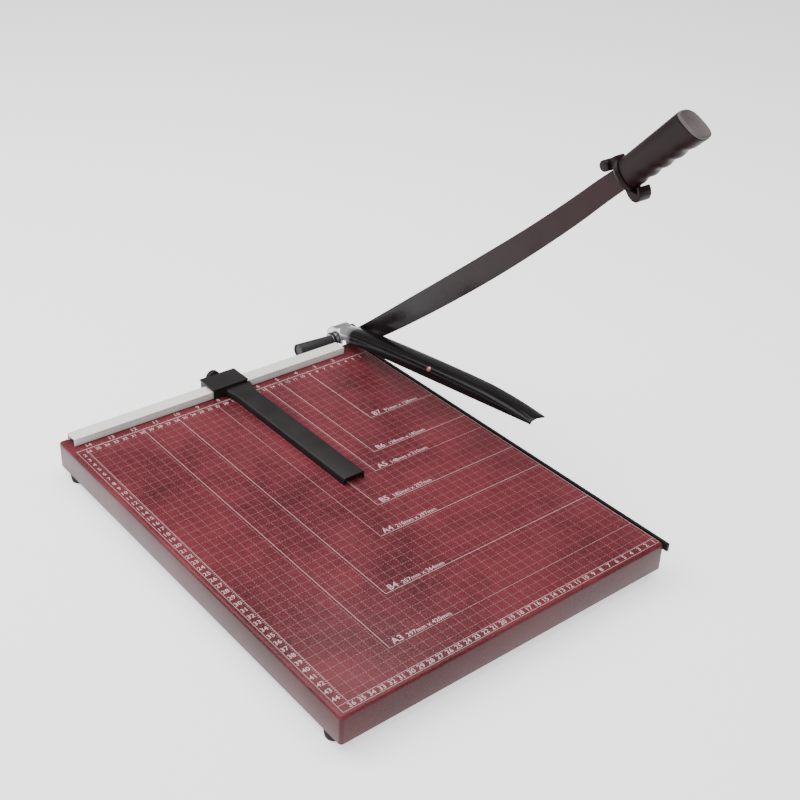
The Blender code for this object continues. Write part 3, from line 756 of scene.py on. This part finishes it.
    def text(self, words: str, place: tuple[float, float], tall: float,
             centred: bool = False) -> bpy.types.Object:
        """Return flat printed figures.

        Args:
            words: The figures.
            place: Where their baseline starts, or its middle.
            tall: Their height in metres.
            centred: Whether the place is the middle of the baseline.

        Returns:
            The figures as a mesh.
        """
        clear_selection()
        bpy.ops.object.text_add(location=(place[0], place[1], self.lift))
        item = bpy.context.object
        item.data.body = words
        item.data.size = tall * 1.35
        item.data.offset = tall * 0.012
        item.data.resolution_u = 2
        item.data.align_x = "CENTER" if centred else "LEFT"
        bpy.ops.object.convert(target="MESH")
        item = name_active("figures")
        bpy.ops.object.transform_apply(location=True, rotation=True, scale=True)
        return item


# Fence ----------------------------------------------------------------------------------------
@dataclass
class Fence:
    """The white folded bar along the back, with a plain black scale on its front wall."""

    paint: Paint
    left: float = -0.368
    right: float = -0.031
    wide: float = 0.016
    tall: float = 0.0085
    low: float = 0.0003
    sheet: float = 0.0012

    def build(self) -> None:
        """Build the bar and print its scale."""
        self.bar()
        self.scale()

    def bar(self) -> None:
        """Fold the bar: an upturned channel with its right end closed."""
        inside = self.wide - self.sheet
        roof = self.tall - self.sheet
        outline = [(0, self.low), (0, self.tall), (self.wide, self.tall), (self.wide, self.low),
                   (inside, self.low), (inside, roof), (self.sheet, roof), (self.sheet, self.low)]
        bar = sweep("fence_channel", [[(x, y, z) for y, z in outline] for x in (self.left, self.right)])
        round_edges(bar, 0.0005, 3, 60)
        end = add_box("end", (self.right - self.sheet, self.sheet / 2, self.low),
                      (self.right - 0.0001, inside + self.sheet / 2, roof + self.sheet / 2))
        join(bar, [end])
        hand_in(bar, Seat.BED, "base", self.paint.fence, "fence_paint", "fence_bar")

    def scale(self) -> None:
        """Print a row of short black ticks low on the front wall, every fifth one taller."""
        marks = []
        for step, tall, count in ((0.002, 0.0011, 166), (0.010, 0.0020, 33)):
            tick = add_box("tick", (self.left + 0.0035, -0.00008, self.tall - 0.0007 - tall),
                           (self.left + 0.0038, 0.0001, self.tall - 0.0007))
            apply_modifier(tick, "ARRAY", count=count, use_relative_offset=False,
                           use_constant_offset=True, constant_offset_displace=(step, 0, 0))
            marks.append(tick)
        join(marks[0], marks[1:])
        marks[0].name = "fence_scale"
        hand_in(marks[0], Seat.BED, "base", self.paint.black_ink, "fence_paint", smooth=None)


# Blade arm ------------------------------------------------------------------------------------
@dataclass
class BladeArm:
    """The curved blade with its moulded handle, drawn level from the pivot."""

    paint: Paint
    inner: float = 0.0003
    thick: float = 0.003
    spine: list[tuple[float, float]] = field(default_factory=lambda: [
        (0.006, 0.0030), (0.030, 0.0026), (0.054, 0.0024), (0.130, 0.0025), (0.215, 0.0027),
        (0.290, 0.0032), (0.356, 0.0042), (0.420, 0.0068), (0.460, 0.0093), (0.491, 0.0106)])
    edge: list[tuple[float, float]] = field(default_factory=lambda: [
        (0.006, -0.0085), (0.030, -0.0170), (0.054, -0.0207), (0.130, -0.0234), (0.215, -0.0241),
        (0.290, -0.0230), (0.356, -0.0202), (0.420, -0.0160), (0.460, -0.0120), (0.491, -0.0094)])
    tang: tuple[Point, ...] = ((0.497, 0.0082, -0.0065), (0.556, 0.0125, 0.0020))
    grip_start: float = 0.4915
    grip_long: float = 0.0915
    grip_wide: float = 0.0215
    grip_tilt: float = 5.7
    grip_lift: float = 0.0008
    centre: float = 0.0026
    butt_slant: float = 0.0042
    fingers: int = 4
    lug_along: float = 0.4815
    lug_height: float = 0.0160
    body: str = "blade_arm"

    def build(self) -> None:
        """Build the blade and each piece of the handle."""
        self.blade()
        self.grip()
        self.butt()
        self.guard()

    def blade(self) -> None:
        """Grind the blade: flat inside, bevelled outside, with an eye and a tang."""
        outer = self.inner + self.thick
        rings = []
        places = spread(0.006, 0.491, 72)
        stations = [(at, track(self.spine, at), track(self.edge, at)) for at in places]
        for along, spine, edge in stations + list(self.tang):
            section = [(self.inner, spine - 0.0004), (self.inner + 0.0004, spine), (outer - 0.0004, spine),
                       (outer, spine - 0.0004), (outer, edge + 0.004), (self.inner + 0.0005, edge),
                       (self.inner, edge)]
            rings.append([(x, -along, z) for x, z in section])
        blade = sweep("blade_plate", rings)
        combine(blade, add_rod("eye", (0.011, 0.011), self.inner, outer, "X", sides=64))
        combine(blade, add_rod("hole", (0.0058, 0.0058), -0.01, 0.01, "X"), "DIFFERENCE")
        hand_in(blade, Seat.BLADE, self.body, self.paint.blade, "blade_steel", "blade", smooth=14)

    def ring(self, share: float, lift: float, shrink: float = 0.0, sides: int = 56) -> Ring:
        """Return one rounded section of the handle.

        Args:
            share: Place from the front of the grip (0) to its butt (1), which sets its size.
            lift: Distance of the section from the front of the handle.
            shrink: How much smaller the section is all round.
            sides: Number of points.

        Returns:
            The points of the section, round the handle.
        """
        square = 2.3 + 0.5 * share
        top = 0.0140 + 0.0010 * share - shrink
        fingers = 0.0
        if 0.1 < share < 0.86:
            fingers = 0.0007 * (1 - cos(2 * pi * self.fingers * (share - 0.1) / 0.76))
        bottom = 0.0145 + 0.0020 * share - fingers - shrink
        half_wide = (0.9 + 0.1 * share) * self.grip_wide / 2 - shrink
        tilt = radians(self.grip_tilt)
        points = []
        for i in range(sides):
            angle = 2 * pi * i / sides
            across = abs(cos(angle)) ** (2 / square) * (1 if cos(angle) > 0 else -1)
            up = abs(sin(angle)) ** (2 / square) * (1 if sin(angle) > 0 else -1)
            height = up * (top if up > 0 else bottom)
            slanted = lift - share ** 3 * self.butt_slant * height / top
            points.append((self.centre + half_wide * across,
                           -(self.grip_start + slanted * cos(tilt) - height * sin(tilt)),
                           self.grip_lift + slanted * sin(tilt) + height * cos(tilt)))
        return points

    def grip(self) -> None:
        """Mould the grip with its finger waves, and drill it for the two pins."""
        start, end = 0.0058, self.grip_long - 0.003
        rings = [self.ring(share, start + share * (end - start)) for share in spread(0, 1, 61)]
        grip = sweep("grip_moulding", rings)
        for along, height in ((0.516, 0.0030), (0.542, 0.0060)):
            hole = add_rod("pin_hole", (0.0022, 0.0022), -0.006, 0.02, "X", (0, -along, height), 32)
            combine(grip, hole, "DIFFERENCE")
        round_edges(grip, 0.0004, 2, 50)
        hand_in(grip, Seat.BLADE, self.body, self.paint.grip, "grip_plastic", "handle_grip")

    def butt(self) -> None:
        """Mould the grey end cap with a rounded rim and a slightly sunk face."""
        end = self.grip_long - 0.003
        rings = [self.ring(1, end + 0.0003, 0.0004), self.ring(1, self.grip_long - 0.0010, 0.0003),
                 self.ring(1, self.grip_long - 0.0003, 0.0007), self.ring(1, self.grip_long, 0.0014),
                 self.ring(1, self.grip_long - 0.0001, 0.0022),
                 self.ring(1, self.grip_long - 0.0004, 0.0026)]
        butt = sweep("butt_moulding", rings)
        hand_in(butt, Seat.BLADE, self.body, self.paint.butt, "butt_plastic", "butt_cap", smooth=60)

    def guard(self) -> None:
        """Mould the guard: a collar, the curled finger hook under it and the lug over the blade."""
        collar = sweep("guard_moulding", [
            self.ring(0, 0.0, -0.0008), self.ring(0, 0.0004, -0.0016), self.ring(0, 0.0014, -0.0023),
            self.ring(0, 0.0026, -0.0025), self.ring(0, 0.0040, -0.0022), self.ring(0, 0.0054, -0.0010)])
        hook = self.hook()
        lug_place = (self.centre, -self.lug_along, self.lug_height)
        lug = add_rod("lug", (0.0052, 0.0052), -0.0095, 0.0095, "X", lug_place, 48)
        round_edges(lug, 0.0012, 4, 50)
        neck = add_box("neck", (self.centre - 0.006, -self.grip_start - 0.004, self.lug_height - 0.0040),
                       (self.centre + 0.006, -self.lug_along, self.lug_height + 0.0035))
        round_edges(neck, 0.0012, 4, 50)
        join(collar, [hook, lug, neck])
        hand_in(collar, Seat.BLADE, self.body, self.paint.grip, "grip_plastic", "handle_guard",
                smooth=45)

    def hook(self) -> bpy.types.Object:
        """Return the crescent that curls back under the first finger."""
        outline = [(0.0004, -0.0068), (0.0008, -0.0170), (0.0028, -0.0222), (0.0062, -0.0252),
                   (0.0102, -0.0252), (0.0134, -0.0228), (0.0154, -0.0190), (0.0160, -0.0142),
                   (0.0136, -0.0144), (0.0126, -0.0178), (0.0112, -0.0192), (0.0096, -0.0184),
                   (0.0084, -0.0168), (0.0070, -0.0152), (0.0055, -0.0142), (0.0050, -0.0068)]
        rings = []
        for across in (-0.0075, 0.0075):
            rings.append([(self.centre + across, -self.grip_start - along, z) for along, z in outline])
        hook = sweep("hook", rings)
        round_edges(hook, 0.0012, 4, 20)
        return hook


# Paper clamp ----------------------------------------------------------------------------------
@dataclass
class Clamp:
    """The folded paper clamp that swings on the blade's bolt, drawn level from the pivot."""

    paint: Paint
    inner: float = -0.0255
    outer: float = -0.0046
    sheet: float = 0.0012
    lower: float = 0.0041
    ridge: list[tuple[float, float]] = field(default_factory=lambda: [
        (0.0050, 0.0142), (0.0140, 0.0152), (0.0250, 0.0162), (0.0400, 0.0173), (0.0700, 0.0183),
        (0.1100, 0.0188), (0.1800, 0.0187), (0.2470, 0.0174), (0.2850, 0.0146), (0.3100, 0.0113),
        (0.3266, 0.0085)])
    hub: float = 0.0152
    body: str = "paper_clamp"

    def build(self) -> None:
        """Build the bar with its hub."""
        bar = sweep("clamp_shell", [self.section(at) for at in spread(0.0050, 0.3266, 66)])
        round_edges(bar, 0.00035, 2, 55)
        join(bar, [self.roof(), self.cheek(self.inner + 0.0001),
                   self.cheek(self.outer - 0.0001 - self.sheet)])
        hand_in(bar, Seat.CLAMP, self.body, self.paint.clamp, "clamp_enamel", "clamp_bar")

    def section(self, along: float) -> Ring:
        """Return the folded section at a place along the bar."""
        tall = track(self.ridge, along) - self.lower
        fall = 0.0008 + 0.0018 * max(0.0, (along - 0.25) / 0.0766)
        outside = [(self.inner, 0), (-0.0252, 0.25 * tall), (-0.0247, 0.52 * tall),
                   (-0.0236, 0.72 * tall), (-0.0215, 0.87 * tall), (-0.0190, 0.965 * tall),
                   (-0.0170, tall), (-0.0110, tall - 0.4 * fall), (self.outer, tall - fall)]
        inside = [(self.outer, tall - fall - self.sheet), (-0.0112, tall - 0.4 * fall - self.sheet),
                  (-0.0168, tall - self.sheet), (-0.0207, 0.86 * tall - 0.9 * self.sheet),
                  (-0.0236, 0.5 * tall - 0.2 * self.sheet), (self.inner + self.sheet, 0)]
        return [(x, -along, self.lower + z) for x, z in outside + inside]

    def roof(self) -> bpy.types.Object:
        """Return the curved roof of the hub."""
        angles = [radians(angle) for angle in spread(-15, 165, 37)]
        band = [(self.hub * cos(angle), self.hub * sin(angle)) for angle in angles]
        thin = self.hub - self.sheet
        band += [(thin * cos(angle), thin * sin(angle)) for angle in reversed(angles)]
        roof = sweep("roof", [[(x, y, z) for y, z in band] for x in (self.inner, self.outer)])
        round_edges(roof, 0.0005, 3, 60)
        return roof

    def cheek(self, low: float) -> bpy.types.Object:
        """Return one side plate of the hub with its hole for the sleeve."""
        wide = self.hub - 0.0002
        outline = [(wide * cos(radians(a)), wide * sin(radians(a))) for a in spread(-5, 190, 32)]
        outline += [(0.007 * cos(radians(a)), 0.007 * sin(radians(a))) for a in spread(190, 355, 16)[1:]]
        cheek = sweep("cheek", [[(x, y, z) for y, z in outline] for x in (low, low + self.sheet)])
        combine(cheek, add_rod("sleeve_hole", (0.0053, 0.0053), -0.05, 0.05, "X"), "DIFFERENCE")
        return cheek


# Paper stop -----------------------------------------------------------------------------------
@dataclass
class Stop:
    """The sliding paper stop: a saddle over the fence, its cap, a long arm and a knob."""

    paint: Paint
    left: float = -0.207
    right: float = -0.163
    arm_left: float = -0.189
    arm_right: float = -0.164
    tip: float = -0.212
    knob_x: float = -0.187
    knob_z: float = 0.006
    body: str = "paper_stop"

    def build(self) -> None:
        """Build the stop's pieces."""
        self.arm()
        self.cap()
        self.knob()

    def arm(self) -> None:
        """Mould the saddle and the channelled arm with its ribs."""
        roof, front, back = 0.0088, -0.002, 0.026
        outline = [(front, 0.0004), (-0.0003, 0.0004), (-0.0003, roof), (0.018, roof), (0.018, 0.0004),
                   (back, 0.0004), (back, 0.0102), (front, 0.0102)]
        saddle = sweep("stop_moulding", [[(x, y, z) for y, z in outline]
                                         for x in (self.left + 0.001, self.right - 0.001)])
        combine(saddle, add_rod("stud_hole", (0.0026, 0.0026), -0.006, 0.006, "Y",
                                (self.knob_x, 0.022, self.knob_z)), "DIFFERENCE")
        round_edges(saddle, 0.0003, 2, 60)
        arm = sweep("arm", [self.section(y, flare, top) for y, flare, top in (
            (-0.0010, 0.0042, 0.0086), (-0.0060, 0.0030, 0.0085), (-0.0120, 0.0014, 0.0083),
            (-0.0180, 0.0005, 0.0081), (-0.0260, 0.0, 0.0080), (self.tip, 0.0, 0.0080))])
        round_edges(arm, 0.0003, 2, 70)
        ribs = []
        for y in (self.tip + 0.008, self.tip / 2):
            ribs.append(add_box("rib", (self.arm_left + 0.001, y, 0.0015),
                                (self.arm_right - 0.001, y + 0.002, 0.007)))
        join(saddle, [arm] + ribs)
        hand_in(saddle, Seat.BED, self.body, self.paint.stop, "stop_plastic", "stop_arm")

    def section(self, y: float, flare: float, top: float) -> Ring:
        """Return the arm's channel section, upside down, with soft upper corners."""
        low, wall, soft = 0.0004, 0.0018, 0.0022
        left, right = self.arm_left - flare, self.arm_right + flare
        corner = [(1 - cos(radians(a)), 1 - sin(radians(a))) for a in (0, 22, 45, 68, 90)]
        section = [(left, low)]
        section += [(left + soft * u, top - soft * v) for u, v in corner]
        section += [(right - soft * u, top - soft * v) for u, v in reversed(corner)]
        section += [(right, low), (right - wall, low), (right - wall, top - wall - soft / 2),
                    (right - wall - soft, top - wall), (left + wall + soft, top - wall),
                    (left + wall, top - wall - soft / 2), (left + wall, low)]
        return [(x, y, z) for x, z in section]

    def cap(self) -> None:
        """Mould the flat cap over the saddle, with soft corners and edges."""
        cap = add_box("stop_cover", (self.left, -0.0026, 0.0105), (self.right, 0.0264, 0.0126))
        round_edges(cap, 0.0007, 3, 60)
        hand_in(cap, Seat.BED, self.body, self.paint.stop, "stop_plastic", "stop_cap")

    def knob(self) -> None:
        """Turn the clamping knob and press grooves round its rim."""
        knob = add_rod("knob_moulding", (0.0080, 0.0080), 0.0282, 0.0340, "Y",
                       (self.knob_x, 0, self.knob_z), 60)
        round_edges(knob, 0.0006, 3, 60)
        select_faces(knob, lambda face: abs(face.normal.y) < 0.1 and face.calc_area() > 3e-6
                     and face.index % 2 == 0)
        bpy.ops.mesh.inset(thickness=0.00008, depth=-0.0004, use_individual=True)
        bpy.ops.object.mode_set(mode="OBJECT")
        face = add_rod("face", (0.0062, 0.0056), 0.0339, 0.0345, "Y", (self.knob_x, 0, self.knob_z))
        neck = add_rod("neck", (0.0055, 0.0058), 0.0264, 0.0284, "Y", (self.knob_x, 0, self.knob_z))
        join(knob, [face, neck])
        hand_in(knob, Seat.BED, "stop_knob", self.paint.stop, "knob_plastic", "stop_knob")


# Pivot ----------------------------------------------------------------------------------------
@dataclass
class Pivot:
    """The tapered cover over the spring on the pivot bolt."""

    paint: Paint
    right: float = -0.0310
    left: float = -0.0765
    radii: tuple[float, float] = (0.0085, 0.0062)

    def build(self) -> None:
        """Turn the tapered cover with a sunk end face and a rounded rim."""
        cover = add_rod("cover_shell", self.radii, self.left, self.right, "X", sides=64)
        select_faces(cover, facing((-1, 0, 0)))
        bpy.ops.mesh.inset(thickness=0.0012)
        bpy.ops.mesh.extrude_region_move(TRANSFORM_OT_translate={"value": (0.0020, 0, 0)})
        bpy.ops.object.mode_set(mode="OBJECT")
        round_edges(cover, 0.0004, 3, 40)
        cover.matrix_world = Matrix.Translation(pivot_point() - square_corner())
        hand_in(cover, Seat.BED, "base", self.paint.cover, "cover_enamel", "spring_cover")


class Hardware:
    """Gives the frame's own screws, nuts, washers and ribs their finishes."""

    def __init__(self, paint: Paint) -> None:
        """List the finishes by the record's material slot."""
        self.finishes = {
            "pan_enamel": paint.bed, "knife_steel": paint.knife, "zinc_steel": paint.zinc,
            "spring_steel": paint.bright, "bracket_steel": paint.bracket, "cap_plastic": paint.cover,
            "rivet_metal": paint.rivet, "stop_plastic": paint.stop}

    def build(self) -> None:
        """Dress every frame node that still shows."""
        slots = {part["node"]: part["material_slot"] for part in frame["record"]["subparts"]}
        for node, item in frame["nodes"].items():
            if item.hide_render:
                continue
            item.data.materials.clear()
            item.data.materials.append(self.finishes[slots[node]])
            LOG.info("%s dressed in %s", node, slots[node])


# Stage ----------------------------------------------------------------------------------------
@dataclass
class Stage:
    """A pale floor, soft lamps and the camera."""

    eye: Point = (-0.6226, -0.8101, 0.7492)
    turn: Point = (58.97, -2.159, -38.832)
    lens: float = 57.09

    def build(self) -> None:
        """Set the stage."""
        self.floor()
        self.sky()
        self.lamp("window", (-0.9, 0.9, 1.5), 1.6, 34)
        self.lamp("ceiling", (0.3, 0.1, 1.9), 1.8, 34)
        self.lamp("fill", (-1.3, -1.1, 0.9), 1.4, 9)
        clear_selection()
        bpy.ops.object.camera_add(location=self.eye, rotation=[radians(turn) for turn in self.turn])
        camera = bpy.context.object
        camera.data.sensor_width = 36
        camera.data.lens = self.lens
        bpy.context.scene.camera = camera

    def floor(self) -> None:
        """Lay a wide pale floor under the feet."""
        clear_selection()
        bpy.ops.mesh.primitive_plane_add(size=12, location=(0, 0, 0))
        floor = name_active("floor")
        nodes = Nodes("floor_paint")
        nodes.set(Base_Color=(0.92, 0.92, 0.92, 1), Roughness=0.9, Specular_IOR_Level=0.1,
                  Emission_Color=(1, 1, 1, 1), Emission_Strength=1.0)
        floor.data.materials.append(nodes.material)

    def sky(self) -> None:
        """Light the stage evenly from all round."""
        world = bpy.context.scene.world or bpy.data.worlds.new("sky")
        bpy.context.scene.world = world
        world.use_nodes = True
        background = next(node for node in world.node_tree.nodes if node.type == "BACKGROUND")
        background.inputs["Color"].default_value = (1.0, 1.0, 1.0, 1)
        background.inputs["Strength"].default_value = 0.38

    def lamp(self, name: str, place: Point, size: float, power: float) -> None:
        """Hang a square soft lamp that points at the cutter.

        Args:
            name: The lamp's name.
            place: Where it hangs.
            size: Length of its sides.
            power: Its power in watts.
        """
        clear_selection()
        bpy.ops.object.light_add(type="AREA", location=place)
        lamp = bpy.context.object
        lamp.name = name
        lamp.data.size = size
        lamp.data.energy = power
        lamp.rotation_euler = (-Vector(place)).to_track_quat("-Z", "Y").to_euler()


def main() -> None:
    """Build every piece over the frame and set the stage."""
    logging.basicConfig(level=logging.INFO, format="%(name)s: %(message)s")
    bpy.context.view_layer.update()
    paint = Paint()
    assemblies = [Bed(paint), BedPrint(paint), Fence(paint), BladeArm(paint), Clamp(paint),
                  Stop(paint), Pivot(paint), Hardware(paint), Stage()]
    for assembly in assemblies:
        assembly.build()
    clear_selection()
    bpy.context.view_layer.update()


if __name__ == "__main__":
    main()
